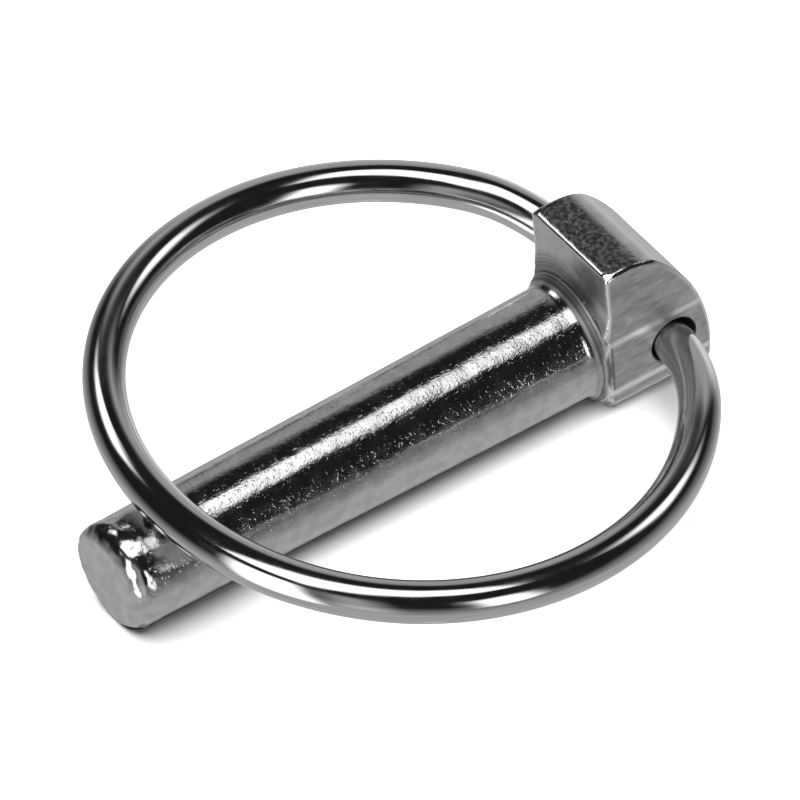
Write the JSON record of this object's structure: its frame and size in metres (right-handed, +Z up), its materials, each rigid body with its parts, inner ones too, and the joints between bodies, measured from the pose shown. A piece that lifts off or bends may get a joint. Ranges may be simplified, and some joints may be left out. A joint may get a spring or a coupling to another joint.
{
  "type": "lynch pin",
  "caption": "Steel lynch pin: a round pin with a D-shaped, cross-bored head and a hinged wire ring that closes over the shank.",
  "frame": {"origin": "on the ground, under the middle of the part's length, on the shank's centre plane", "axes": "+X along the shank from tip to head, +Y along the head's cross-bore, +Z up with the ring on top of the shank"},
  "size_m": [0.0572, 0.0532, 0.0158],
  "materials": {
    "zinc_plated_forging": "bright zinc plating over a rough forged and turned surface",
    "zinc_plated_spring_wire": "bright zinc plating over smooth drawn wire"
  },
  "bodies": {
    "pin": {"pin": "zinc_plated_forging"},
    "ring": {"ring": "zinc_plated_spring_wire"}
  },
  "joints": [
    {"name": "ring_hinge", "type": "hinge", "parent": "pin", "child": "ring", "pos_m": [0.02482, 0, 0.00513], "axis": [0, 1, 0], "range_deg": [0, 340]}
  ]
}
